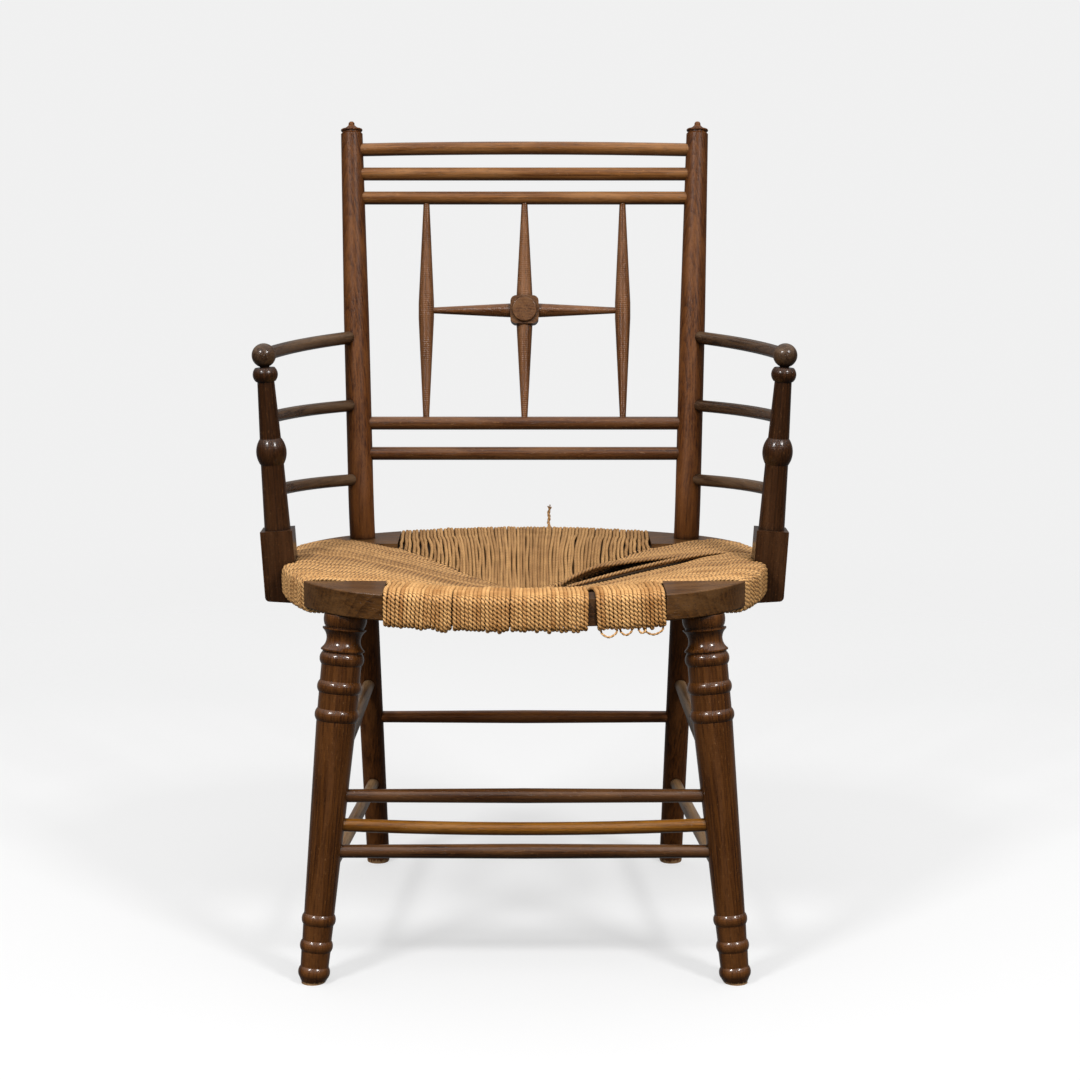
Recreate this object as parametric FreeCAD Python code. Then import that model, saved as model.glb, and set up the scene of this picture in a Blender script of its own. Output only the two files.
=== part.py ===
import FreeCAD, Part
import math
import os

from FreeCAD import Placement, Rotation, Vector

os.makedirs("parts", exist_ok=True)

# A round-seated armchair of turned sticks with a rush seat. Millimetres and degrees. +Z is up, the sitter
# faces -Y, +X is on the right of someone who looks at the chair's front, and the origin is on the floor.

# Joints
glue_gap = 0.1              # all round a glued tenon, stick or block
post_tip = 3.0              # from a post's axis to the end of a stick in it
leg_tip = 8.0               # from a front leg's axis to the end of a stick in it
spindle_tip = 1.5           # from a thin stick's axis to the end of a spindle in it
socket_length = 22.0        # even stretch at each end of a stick, most of it in the joint

# Seat frame seen from above: tangent arcs from the front middle round to the back middle
seat_height = 400.0         # top of the corner blocks
seat_front = -231.2         # y of the frame's front middle
front_radius = 408.0
front_corner_radius = 156.0
side_radius = 274.0
rear_side_radius = 420.0
rear_corner_radius = 145.0
front_arc_heading = 20.0    # headings along the outline, 0 at the front middle and 180 at the back middle
front_corner_heading = 60.0
side_arc_heading = 90.0
rear_side_heading = 98.0
rear_corner_heading = 150.0
front_block_x = 140.0       # inner faces of the corner blocks
front_block_y = -133.5
rear_block_x = 141.0
rear_block_y = 95.0
block_thickness = 27.0
block_edge = 1.5            # rounding of the blocks' outer edges
seat_rail_width = 36.0
seat_rail_thickness = 27.0
seat_rail_drop = 2.0        # from the blocks' top to the rails' top
seat_rail_inset = 3.6       # from the blocks' outer face to the rails' outer face
seat_tenon_diameter = 11.0
seat_tenon_length = 12.0
seat_tenon_inset = 17.0     # from the blocks' outer face to the tenons' axes

# Rush seat
rush_thickness = 4.4        # of one layer of cords
rush_gap = 0.3              # from the rush to the wood that it goes round
rush_slack = 0.6            # how far the cords hang off the rails' underside
rush_crown = 1.0            # how far the rush falls from the rails' middle to their outer edge
rush_round = 8.0            # height of the rounding where the rush turns over a rail
rush_lip = 3.1              # how far the rush falls from the rails' middle to their inner edge
seat_sag = 37.0             # from the rush on the rails to the middle of the seat
seat_core = 19.0            # thickness of the seat at its middle
dish_steps = 6

# Back posts
post_foot_x = 173.0
post_foot_y = 211.8
post_heading = 145.0        # where the posts pass through the seat frame
post_inset = 20.0
post_bend_rise = 30.0       # above the seat
post_bend_radius = 140.0
post_top_x = 195.0
post_top_y = 216.8
post_height = 850.0
post_foot_diameter = 26.4
post_diameter = 28.4
post_top_diameter = 24.4
post_taper_length = 210.0
foot_wear = 2.4             # rounding of the worn feet
finial_rim = 1.5            # depth of the groove under the finial
finial_groove = 1.2
finial_bead = 3.0
finial_neck = 4.6
finial_hollow = 0.8         # how far the finial's neck is hollowed
finial_button_height = 3.7
finial_button_diameter = 6.6

# Rails and spindles of the back
back_rail_diameter = 14.7
crest_drop = 19.3           # from the posts' top to the top crest rail
crest_spacing = 26.7
crest_bow = 2.2             # upward bow of the top crest rail
lower_rail_rise = 94.5      # from the seat to the lowest back rail
lower_rail_spacing = 33.4
spindle_spread = 110.5      # from the middle to an outer spindle
spindle_end_diameter = 7.0
outer_spindle_diameter = 17.4
centre_spindle_diameter = 18.4
cross_spindle_diameter = 16.0
boss_width = 31.6           # of the square block
boss_corner = 6.5           # rounding of its corners
boss_depth = 22.0
boss_face_diameter = 27.6
boss_face_rise = 3.2
boss_face_edge = 1.2        # rounding of the raised face
boss_pin_diameter = 7.0     # pins of the spindles in the boss
boss_sink = 2.5             # how far the spindles' shoulders are let into the boss

# Arms
arm_diameter = 14.0
arm_ball_diameter = 25.4
arm_bow = 14.0              # outward bow of the arms and the rails under them
arm_rear_rise = 223.5       # heights above the seat
arm_front_rise = 219.0
arm_rail_diameter = 13.0
middle_rail_rear_rise = 148.0
middle_rail_front_rise = 153.0
lower_rail_rear_rise = 66.0
lower_rail_front_rise = 75.5

# Arm posts
arm_post_y = -20.2
arm_post_out = 2.0          # from the frame's outer face to the block's axis, at the top of the seat
arm_post_lean = 13.5        # how far out the ball stands from the axis at the seat
arm_block_width = 34.0
arm_block_depth = 34.0
arm_block_rise = 35.0       # above the seat
arm_block_drop = 41.0       # below the seat
arm_block_slant = 7.0       # slope of the block's lower end
arm_block_round = 5.0       # rounding of its lower outer edge
arm_post_base_diameter = 27.6
arm_post_waist_diameter = 24.4
arm_bulb_diameter = 32.0
arm_bulb_height = 28.0
arm_bulb_rise = 118.0       # above the seat
arm_shaft_diameter = 22.4
arm_neck_diameter = 18.0
arm_ring_diameter = 26.4
arm_ring_height = 14.5
arm_ring_round = 3.0
arm_tenon_diameter = 10.0
arm_tenon_length = 9.0
screw_diameter = 4.8
screw_head_diameter = 9.0
screw_point_diameter = 1.0
screw_point_length = 5.0
screw_grip = 15.0           # how far a screw goes into the arm post
screw_spacing = 13.0
screw_sink = 0.5            # how far its head lies under the rail's face

# Front legs
leg_foot_x = 214.0
leg_foot_y = -203.2
leg_heading = 44.0          # where the legs meet the corner blocks
leg_inset = 21.5
leg_diameter = 40.4
leg_ankle_diameter = 30.8
leg_bead_proud = 2.3
leg_bead_width = 12.5
leg_bead_spacing = 28.5
leg_bead_drop = 48.0        # from the blocks' underside to the highest of the three beads
leg_cove_width = 20.0
leg_cove_depth = 4.8
leg_fillet_diameter = 44.0  # sharp edges either side of the cove
leg_fillet_width = 1.4
leg_groove_diameter = 39.0
leg_groove_width = 2.0
leg_collar_proud = 1.6
foot_diameter = 28.6
foot_bead_proud = 1.9
foot_bead_width = 11.5
foot_bead_spacing = 27.0
foot_bead_height = 10.5     # middle of the lowest bead
leg_tenon_diameter = 22.0
leg_tenon_length = 19.0

# Stretchers
stretcher_diameter = 13.4
stretcher_middle_diameter = 15.2
top_stretcher_height = 188.0
middle_stretcher_height = 159.5
middle_stretcher_sag = 5.0
low_stretcher_height = 132.0
rear_stretcher_height = 183.0
side_upper_rear_height = 226.0
side_upper_front_height = 203.0
side_lower_rear_height = 102.0
side_lower_front_height = 99.0

RIGHT, BACK, UP = Vector(1, 0, 0), Vector(0, 1, 0), Vector(0, 0, 1)
quarter_bulge = 1 - math.sqrt(0.5)      # how far a quarter circle of radius 1 stands off its chord
block_bottom = seat_height - block_thickness
block_middle = seat_height - block_thickness / 2
seat_rail_top = seat_height - seat_rail_drop
seat_rail_bottom = seat_rail_top - seat_rail_thickness
seat_rail_inner = seat_rail_inset + seat_rail_width
beyond = 4 * post_height                # larger than the chair, for cuts
half_turn = 180.0                       # heading of the outline's back middle
halvings = 50                           # steps of a search along the outline
pieces = {}


# Turned, bent and bored work


def turned(rows, foot, towards):
    """Turns rows of (distance, radius, swell) about a line. A swell bows out the stretch before its row."""
    corners = [Vector(radius, 0, distance) for distance, radius, swell in rows]
    ends = [Vector(0, 0, rows[0][0]), Vector(0, 0, rows[-1][0])]
    edges = [Part.makeLine(ends[0], corners[0])]
    for a, b, row in zip(corners, corners[1:], rows[1:]):
        if row[2]:
            outward = Vector(b.z - a.z, 0, a.x - b.x).normalize()
            edges.append(Part.Arc(a, (a + b) * 0.5 + outward * row[2], b).toShape())
        else:
            edges.append(Part.makeLine(a, b))
    edges += [Part.makeLine(corners[-1], ends[1]), Part.makeLine(ends[1], ends[0])]
    solid = Part.Face(Part.Wire(edges)).revolve(Vector(), UP, 360)
    solid.Placement = Placement(foot, Rotation(UP, towards - foot))
    return solid


def bead(middle, width, radius, proud):
    """Rows of one rounded bead."""
    return [(middle - width / 2, radius, 0), (middle + width / 2, radius, proud)]


def between(a, b, tip_a, tip_b):
    """The two ends of a straight stick whose axis joins the axes of the pieces that hold it."""
    along = (b - a).normalize()
    return a + along * tip_a, b - along * tip_b


def straight_stick(start, end, diameter, middle_diameter):
    """A turned stick that tapers from its middle to even ends for its joints."""
    length = start.distanceToPoint(end)
    radius = diameter / 2
    rows = [(0, radius, 0), (socket_length, radius, 0), (length / 2, middle_diameter / 2, 0)]
    rows += [(length - socket_length, radius, 0), (length, radius, 0)]
    return turned(rows, start, end)


def bowed_stick(a, b, diameter, bow, tip_a, tip_b):
    """A bent stick of even thickness that starts and ends a little way along an arc from a to b."""
    arc = Part.Arc(a, (a + b) * 0.5 + bow, b).toShape()
    circle = arc.Curve
    first = arc.FirstParameter + tip_a / circle.Radius
    turn = arc.LastParameter - tip_b / circle.Radius - first
    section = Part.Circle(circle.value(first), circle.tangent(first)[0], diameter / 2).toShape()
    return Part.Face(Part.Wire([section])).revolve(circle.Center, circle.Axis, math.degrees(turn))


def bowed_bore(a, b, diameter, bow, tip_a, tip_b):
    """The space that a bent stick takes in the pieces that hold it, a glue gap larger."""
    return bowed_stick(a, b, diameter + 2 * glue_gap, bow, tip_a - glue_gap, tip_b - glue_gap)


def bore(tip, towards, diameter, length):
    """A round mortise, a glue gap larger than the stick that ends at its tip."""
    along = (towards - tip).normalize()
    return Part.makeCylinder(diameter / 2 + glue_gap, length + glue_gap, tip - along * glue_gap, along)


def mirrored(shape):
    """The left-hand twin of a right-hand piece."""
    return shape.mirror(Vector(), RIGHT)


def left_twin(point):
    """The left-hand twin of a right-hand point."""
    return Vector(-point.x, point.y, point.z)


def slab(bottom, top):
    """All the space between two heights, to cut a foot or a shoulder level."""
    return Part.makeBox(2 * beyond, 2 * beyond, top - bottom, Vector(-beyond, -beyond, bottom))


def pair(name, shape):
    """Keeps a right-hand piece and its left-hand twin."""
    pieces[name + "_right"] = shape
    pieces[name + "_left"] = mirrored(shape)


# Seat outline


def outline_arcs():
    """Centre, radius and first and last heading of each arc of the right-hand half."""
    radii = (front_radius, front_corner_radius, side_radius, rear_side_radius, rear_corner_radius, None)
    ends = (front_arc_heading, front_corner_heading, side_arc_heading, rear_side_heading)
    ends += (rear_corner_heading, half_turn)
    arcs = []
    x, y, start = 0.0, seat_front, 0.0
    for radius, end in zip(radii, ends):
        sine, cosine = math.sin(math.radians(start)), math.cos(math.radians(start))
        radius = radius or x / sine
        centre = Vector(x - radius * sine, y + radius * cosine, 0)
        arcs.append((centre, radius, start, end))
        x = centre.x + radius * math.sin(math.radians(end))
        y = centre.y - radius * math.cos(math.radians(end))
        start = end
    return arcs


arcs = outline_arcs()


def arc_point(arc, heading, inset, height):
    """A point at a heading of an arc, moved in towards the seat's middle."""
    angle = math.radians(heading)
    reach = arc[1] - inset
    return arc[0] + Vector(reach * math.sin(angle), -reach * math.cos(angle), height)


def frame_point(heading, inset, height):
    """A point of the seat frame."""
    arc = next(arc for arc in arcs if arc[2] <= heading <= arc[3])
    return arc_point(arc, heading, inset, height)


def heading_at(axis, value, inset, low, high):
    """The heading between two others where the outline's x (axis 0) or y (axis 1) has a value."""
    grows = frame_point(high, inset, 0)[axis] > frame_point(low, inset, 0)[axis]
    for step in range(halvings):
        middle = (low + high) / 2
        if (frame_point(middle, inset, 0)[axis] < value) == grows:
            low = middle
        else:
            high = middle
    return low


seat_back = frame_point(half_turn, 0, 0).y
seat_middle_y = (seat_front + seat_back) / 2


def seat_loop(inset, scale, height):
    """The whole outline at an inset and height, drawn in towards the seat's middle by a scale."""
    half = []
    for arc in arcs:
        headings = (arc[2], (arc[2] + arc[3]) / 2, arc[3])
        half.append(Part.Arc(*[arc_point(arc, heading, inset, height) for heading in headings]).toShape())
    loop = Part.Wire(half + [mirrored(edge) for edge in reversed(half)])
    loop.scale(scale, Vector(0, seat_middle_y, height))
    return loop


def seat_disc(inset, bottom, top):
    """A slab with the outline at an inset, between two heights."""
    return Part.Face(seat_loop(inset, 1, bottom)).extrude(UP * (top - bottom))


# Seat frame: corner blocks and the rails between them


def seat_joint(axis, value, low, high, along):
    """Where a rail's tenon goes into a corner block's face, and which way it points."""
    heading = heading_at(axis, value, seat_tenon_inset, low, high)
    return frame_point(heading, seat_tenon_inset, block_middle), along


front_joint = seat_joint(0, front_block_x, 0, half_turn / 2, RIGHT)
side_front_joint = seat_joint(1, front_block_y, 0, half_turn, -BACK)
side_rear_joint = seat_joint(1, rear_block_y, 0, half_turn, BACK)
back_joint = seat_joint(0, rear_block_x, half_turn / 2, half_turn, RIGHT)


def seat_tenon(mouth, along):
    """A round tenon on a rail's end, with as much again inside the rail."""
    root = mouth - along * seat_tenon_length
    return Part.makeCylinder(seat_tenon_diameter / 2, 2 * seat_tenon_length, root, along)


def seat_mortise(mouth, along):
    """The hole for a tenon in a corner block."""
    return bore(mouth + along * seat_tenon_length, mouth, seat_tenon_diameter, 2 * seat_tenon_length)


def seat_ring(gap):
    """The ring that the bent rails are lengths of, or with a gap the room for it in what goes round it."""
    bottom, top = seat_rail_bottom - gap, seat_rail_top + gap
    return seat_disc(seat_rail_inset - gap, bottom, top).cut(seat_disc(seat_rail_inner + gap, bottom, top))


def side_rail():
    """The bent rail between the front and rear blocks, with a tenon at each end."""
    length = rear_block_y - front_block_y - 2 * glue_gap
    span = Part.makeBox(beyond, length, beyond, Vector(0, front_block_y + glue_gap, 0))
    tenons = [seat_tenon(*side_front_joint), seat_tenon(*side_rear_joint)]
    return seat_ring(0).common(span).fuse(tenons).removeSplitter()


def cross_rail(block_x, start_y, joint):
    """The bent rail across the front or the back, with a tenon at each end."""
    half = block_x - glue_gap
    span = Part.makeBox(2 * half, beyond, beyond, Vector(-half, start_y, 0))
    tenon = seat_tenon(*joint)
    return seat_ring(0).common(span).fuse([tenon, mirrored(tenon)]).removeSplitter()


def front_corner(gap):
    """All that lies outside a front block's two inner faces, moved in by a gap."""
    return Part.makeBox(beyond, beyond, beyond, Vector(front_block_x - gap, front_block_y + gap - beyond, 0))


def rear_corner(gap):
    """All that lies outside a rear block's two inner faces, moved in by a gap."""
    return Part.makeBox(beyond, beyond, beyond, Vector(rear_block_x - gap, rear_block_y - gap, 0))


def corner_block(corner, joints):
    """A sawn block of the seat frame with rounded outer edges and a mortise in each inner face."""
    block = seat_disc(0, block_bottom, seat_height).common(corner)
    outer_edges = [edge for edge in block.Edges if edge.Curve.TypeId == "Part::GeomCircle"]
    return block.makeFillet(block_edge, outer_edges).cut([seat_mortise(*joint) for joint in joints])


# Axes of the right-hand back post, front leg and arm post

post_bend_height = seat_height + post_bend_rise
post_foot = Vector(post_foot_x, post_foot_y, 0)
post_seat = frame_point(post_heading, post_inset, block_middle)
lower_run = (post_seat - post_foot).normalize()
post_bend = post_foot + lower_run * (post_bend_height / lower_run.z)
post_top = Vector(post_top_x, post_top_y, post_height)
upper_run = (post_top - post_bend).normalize()
bend_turn = lower_run.getAngle(upper_run)
bend_run = post_bend_radius * math.tan(bend_turn / 2)

leg_foot = Vector(leg_foot_x, leg_foot_y, 0)
leg_top = frame_point(leg_heading, leg_inset, block_bottom)
leg_run = (leg_top - leg_foot).normalize()

arm_heading = heading_at(1, arm_post_y, 0, 0, half_turn)
arm_seat = frame_point(arm_heading, 0, seat_height) + Vector(arm_post_out, 0, 0)
arm_end = arm_seat + Vector(arm_post_lean, 0, arm_front_rise)
arm_run = (arm_end - arm_seat).normalize()


def line_at(a, b, height):
    """Where the line through two points passes a height."""
    return a + (b - a) * ((height - a.z) / (b.z - a.z))


def post_axis(height):
    """Where a back post's axis passes a height."""
    if height < post_bend_height:
        return line_at(post_foot, post_bend, height)
    return line_at(post_bend, post_top, height)


post_cuts, leg_cuts, arm_post_cuts = [], [], []


# Back: crest rails, lower rails, spindles and boss

crest_heights = [post_height - crest_drop - crest_spacing * i for i in range(3)]
lowest_rail_height = seat_height + lower_rail_rise
upper_rail_height = lowest_rail_height + lower_rail_spacing
panel_top = post_axis(crest_heights[2])
panel_bottom = post_axis(upper_rail_height)
boss_height = (panel_top.z + panel_bottom.z) / 2


def panel_point(x, height):
    """A point of the raked plane that the back's rails and spindles lie in."""
    return Vector(x, line_at(panel_bottom, panel_top, height).y, height)


def back_rail(height):
    """A rail between the back posts."""
    right = post_axis(height)
    start, end = between(left_twin(right), right, post_tip, post_tip)
    post_cuts.append(bore(end, start, back_rail_diameter, post_diameter))
    return Part.makeCylinder(back_rail_diameter / 2, start.distanceToPoint(end), start, end - start)


def bowed_crest_rail():
    """The top crest rail, bowed up a little."""
    right = post_axis(crest_heights[0])
    size = (left_twin(right), right, back_rail_diameter, UP * crest_bow, post_tip, post_tip)
    post_cuts.append(bowed_bore(*size))
    return bowed_stick(*size)


boss_centre = panel_point(0, boss_height)
boss_axis = RIGHT.cross(panel_point(0, panel_top.z) - boss_centre)
boss_shoulder = boss_width / 2 - boss_sink
spindle_top = between(boss_centre, panel_point(0, panel_top.z), 0, spindle_tip)[1]
spindle_bottom = between(boss_centre, panel_point(0, panel_bottom.z), 0, spindle_tip)[1]
cross_tip = between(boss_centre, panel_point(spindle_spread, boss_height), 0, spindle_tip)[1]
aside = Vector(spindle_spread, 0, 0)
rail_hold = back_rail_diameter / 2 - spindle_tip
cross_hold = outer_spindle_diameter / 2 - spindle_tip


def rail_bores(tip):
    """The mortises in a rail for the right, left and middle spindles."""
    middle = bore(tip, boss_centre, spindle_end_diameter, back_rail_diameter)
    return [middle.translated(aside), middle.translated(-aside), middle]


def outer_spindle():
    """A spindle thickest at its middle, where a cross spindle is let into it."""
    start, end = spindle_bottom + aside, spindle_top + aside
    length = start.distanceToPoint(end)
    thin, thick = spindle_end_diameter / 2, outer_spindle_diameter / 2
    rows = [(0, thin, 0), (rail_hold, thin, 0), (length / 2 - thick, thick, 0)]
    rows += [(length / 2 + thick, thick, 0), (length - rail_hold, thin, 0), (length, thin, 0)]
    mortise = bore(cross_tip, boss_centre, spindle_end_diameter, outer_spindle_diameter)
    return turned(rows, start, end).cut(mortise)


def boss_spindle(tip, diameter, hold):
    """A spindle that tapers from its shoulder at the boss to the tip that another stick holds."""
    length = boss_centre.distanceToPoint(tip)
    pin, thick, thin = boss_pin_diameter / 2, diameter / 2, spindle_end_diameter / 2
    rows = [(pin + 2 * glue_gap, pin, 0), (boss_shoulder, pin, 0), (boss_shoulder, thick, 0)]
    rows += [(length - hold, thin, 0), (length, thin, 0)]
    return turned(rows, boss_centre, tip)


def boss_socket(tip, diameter):
    """The room that a spindle's pin and shoulder take in the boss."""
    pin, thick, shoulder = boss_pin_diameter / 2 + glue_gap, diameter / 2 + glue_gap, boss_shoulder - glue_gap
    rows = [(pin, pin, 0), (shoulder, pin, 0), (shoulder, thick, 0), (boss_width, thick, 0)]
    return turned(rows, boss_centre, tip)


def boss():
    """The squared boss in the middle of the back, square to the raked panel, with a turned raised face."""
    half, face = boss_depth / 2, boss_face_diameter / 2
    rise = half + boss_face_rise
    block = Part.makeBox(boss_width, boss_width, boss_depth, Vector(-boss_width / 2, -boss_width / 2, -half))
    corners = [edge for edge in block.Edges if edge.tangentAt(edge.FirstParameter).cross(UP).Length < 0.5]
    block = block.makeFillet(boss_corner, corners)
    block.Placement = Placement(boss_centre, Rotation(UP, boss_axis))
    rows = [(0, face, 0), (rise - boss_face_edge, face, 0)]
    rows += [(rise, face - boss_face_edge, quarter_bulge * boss_face_edge)]
    sockets = [boss_socket(tip, centre_spindle_diameter) for tip in (spindle_top, spindle_bottom)]
    sockets += [boss_socket(tip, cross_spindle_diameter) for tip in (cross_tip, left_twin(cross_tip))]
    return block.fuse(turned(rows, boss_centre, boss_centre + boss_axis)).cut(sockets)


pieces["crest_rail_top"] = bowed_crest_rail()
pieces["crest_rail_middle"] = back_rail(crest_heights[1])
pieces["crest_rail_lower"] = back_rail(crest_heights[2]).cut(rail_bores(spindle_top))
pieces["lower_back_rail_upper"] = back_rail(upper_rail_height).cut(rail_bores(spindle_bottom))
pieces["lower_back_rail_lower"] = back_rail(lowest_rail_height)
pair("outer_spindle", outer_spindle())
pieces["centre_spindle_upper"] = boss_spindle(spindle_top, centre_spindle_diameter, rail_hold)
pieces["centre_spindle_lower"] = boss_spindle(spindle_bottom, centre_spindle_diameter, rail_hold)
pair("cross_spindle", boss_spindle(cross_tip, cross_spindle_diameter, cross_hold))
pieces["centre_boss"] = boss()


# Arms and the rails under them

arm_ball_bottom = arm_end - arm_run * (arm_ball_diameter / 2)


def arm_stick(rear_rise, front_rise, diameter, tip):
    """The size of a bowed stick from a back post to an arm post, in the order that bowed_stick takes it."""
    rear = post_axis(seat_height + rear_rise)
    front = line_at(arm_seat, arm_end, seat_height + front_rise)
    bow = UP.cross(front - rear).normalize() * arm_bow
    return rear, front, diameter, bow, post_tip, tip


def arm():
    """An arm in one with the ball on its front end, which the arm post's tenon goes into from below."""
    size = arm_stick(arm_rear_rise, arm_front_rise, arm_diameter, 0)
    post_cuts.append(bowed_bore(*size))
    ball = Part.makeSphere(arm_ball_diameter / 2, arm_end)
    tenon_tip = arm_ball_bottom + arm_run * arm_tenon_length
    mortise = bore(tenon_tip, arm_seat, arm_tenon_diameter, 2 * arm_tenon_length)
    return bowed_stick(*size).fuse(ball).removeSplitter().cut(mortise)


def arm_rail(rear_rise, front_rise):
    """One of the two bowed rails under an arm."""
    size = arm_stick(rear_rise, front_rise, arm_rail_diameter, post_tip)
    post_cuts.append(bowed_bore(*size))
    arm_post_cuts.append(bowed_bore(*size))
    return bowed_stick(*size)


pair("arm", arm())
pair("arm_middle_rail", arm_rail(middle_rail_rear_rise, middle_rail_front_rise))
pair("arm_lower_rail", arm_rail(lower_rail_rear_rise, lower_rail_front_rise))


# Arm posts and their screws


def arm_block(gap):
    """The squared foot of an arm post, its lower end cut on a slant, or with a gap the room for it."""
    half = arm_block_width / 2 + gap
    depth = arm_block_depth + 2 * gap
    fall = half * math.tan(math.radians(arm_block_slant))
    low = -arm_block_drop - gap
    corners = [(-half, low - fall), (half, low + fall), (half, arm_block_rise), (-half, arm_block_rise)]
    points = [Vector(x, -depth / 2, z) for x, z in corners]
    block = Part.Face(Part.makePolygon(points + points[:1])).extrude(Vector(0, depth, 0))
    low_corner = Vector(half, 0, low + fall)
    low_edge = min(block.Edges, key=lambda edge: edge.CenterOfMass.distanceToPoint(low_corner))
    block = block.makeFillet(arm_block_round, [low_edge])
    block.Placement = Placement(arm_seat, Rotation(UP, arm_run))
    return block


def arm_post_turning():
    """The turned part over the block: a taper, a bulb, a thinner taper, a ring and the tenon in the ball."""
    base, waist = arm_post_base_diameter / 2, arm_post_waist_diameter / 2
    shaft, neck, tenon = arm_shaft_diameter / 2, arm_neck_diameter / 2, arm_tenon_diameter / 2
    ring = arm_ring_diameter / 2 - arm_ring_round
    ring_top = arm_seat.distanceToPoint(arm_ball_bottom) - glue_gap
    ring_low = ring_top - arm_ring_height
    bulb_low, bulb_top = arm_bulb_rise - arm_bulb_height / 2, arm_bulb_rise + arm_bulb_height / 2
    swell = (arm_bulb_diameter - waist - shaft) / 2
    rows = [(0, base, 0), (arm_block_rise, base, 0), (bulb_low, waist, 0), (bulb_top, shaft, swell)]
    rows += [(ring_low, neck, 0), (ring_low, ring, 0), (ring_top, ring, arm_ring_round), (ring_top, tenon, 0)]
    rows += [(ring_top + glue_gap + arm_tenon_length, tenon, 0)]
    return turned(rows, arm_seat, arm_end)


def screw_line(height):
    """Where a screw starts on the side rail's inner face, and a point that it goes towards."""
    return frame_point(arm_heading, seat_rail_inner, height), frame_point(arm_heading, 0, height)


screw_length = seat_rail_width + screw_grip


def screw(height):
    """A countersunk screw from inside the side rail into the arm post."""
    head, shank = screw_head_diameter / 2, screw_diameter / 2
    rows = [(screw_sink, head, 0), (screw_sink + head - shank, shank, 0)]
    rows += [(screw_length - screw_point_length, shank, 0), (screw_length, screw_point_diameter / 2, 0)]
    return turned(rows, *screw_line(height))


def screw_hole(height):
    """The countersunk hole for a screw."""
    head, shank = screw_head_diameter / 2 + glue_gap, screw_diameter / 2 + glue_gap
    rows = [(-screw_sink, head, 0), (screw_sink, head, 0), (screw_sink + head - shank, shank, 0)]
    rows += [(screw_length + glue_gap, shank, 0)]
    return turned(rows, *screw_line(height))


rail_middle = (seat_rail_top + seat_rail_bottom) / 2
screw_heights = [rail_middle - screw_spacing / 2, rail_middle + screw_spacing / 2]
screw_holes = [screw_hole(height) for height in screw_heights]
screws = [screw(height) for height in screw_heights]
arm_post = arm_block(0).fuse(arm_post_turning()).removeSplitter()
pair("arm_post", arm_post.cut(arm_post_cuts + screw_holes + [seat_ring(glue_gap)]))
pieces["arm_post_screws"] = Part.makeCompound(screws + [mirrored(shape) for shape in screws])


# Front legs


def leg_rows():
    """Rows of a front leg from under its foot to past its top, which are then cut level."""
    length = leg_foot.distanceToPoint(leg_top)
    thick, ankle, foot = leg_diameter / 2, leg_ankle_diameter / 2, foot_diameter / 2
    fillet, groove = leg_fillet_diameter / 2, leg_groove_diameter / 2
    rows = [(-foot_diameter, foot - foot_wear, 0), (0, foot - foot_wear, 0)]
    for i in range(3):
        radius = foot + (ankle - foot) * i / 2
        rows += bead(foot_bead_height + i * foot_bead_spacing, foot_bead_width, radius, foot_bead_proud)
    bead_middles = [length - leg_bead_drop - i * leg_bead_spacing for i in (2, 1, 0)]
    rows.append((bead_middles[0] - leg_bead_width / 2 - leg_groove_width, thick, 0))
    for middle in bead_middles:
        rows += bead(middle, leg_bead_width, thick, leg_bead_proud)
    low_fillet = bead_middles[-1] + leg_bead_width / 2 + leg_groove_width
    cove = low_fillet + leg_fillet_width
    high_fillet = cove + leg_cove_width
    top_groove = high_fillet + leg_fillet_width
    collar = top_groove + leg_groove_width
    rows += [(low_fillet, thick, 0), (low_fillet, fillet, 0), (cove, fillet, 0)]
    rows += [(high_fillet, fillet, -leg_cove_depth), (top_groove, fillet, 0), (top_groove, groove, 0)]
    rows += [(collar, groove, 0), (collar, thick, 0), (length, thick, leg_collar_proud)]
    rows += [(length + leg_diameter, thick, 0)]
    return rows


def front_leg():
    """A turned leg, cut level at the floor and under the block, with a round tenon up into the block."""
    body = turned(leg_rows(), leg_foot, leg_top)
    body = body.cut([slab(block_bottom - glue_gap, beyond), slab(-beyond, 0)])
    root = leg_top - leg_run * leg_tenon_length
    tenon = Part.makeCylinder(leg_tenon_diameter / 2, 2 * leg_tenon_length, root, leg_run)
    return body.fuse(tenon).removeSplitter()


leg_mortise = bore(leg_top + leg_run * leg_tenon_length, leg_foot, leg_tenon_diameter, 2 * leg_tenon_length)


# Stretchers


def front_stretcher(height):
    """A straight stretcher between the front legs."""
    right = line_at(leg_foot, leg_top, height)
    start, end = between(left_twin(right), right, leg_tip, leg_tip)
    leg_cuts.append(bore(end, start, stretcher_diameter, leg_diameter))
    return straight_stick(start, end, stretcher_diameter, stretcher_middle_diameter)


def sagging_stretcher():
    """The middle front stretcher, which sags."""
    right = line_at(leg_foot, leg_top, middle_stretcher_height)
    size = (left_twin(right), right, stretcher_diameter, UP * -middle_stretcher_sag, leg_tip, leg_tip)
    leg_cuts.append(bowed_bore(*size))
    return bowed_stick(*size)


def rear_stretcher():
    """The stretcher between the back posts."""
    right = post_axis(rear_stretcher_height)
    start, end = between(left_twin(right), right, post_tip, post_tip)
    post_cuts.append(bore(end, start, stretcher_diameter, post_diameter))
    return straight_stick(start, end, stretcher_diameter, stretcher_middle_diameter)


def side_stretcher(front_height, rear_height):
    """A stretcher from a front leg to the back post behind it."""
    front, rear = line_at(leg_foot, leg_top, front_height), post_axis(rear_height)
    start, end = between(front, rear, leg_tip, post_tip)
    leg_cuts.append(bore(start, end, stretcher_diameter, leg_diameter))
    post_cuts.append(bore(end, start, stretcher_diameter, post_diameter))
    return straight_stick(start, end, stretcher_diameter, stretcher_middle_diameter)


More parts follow.
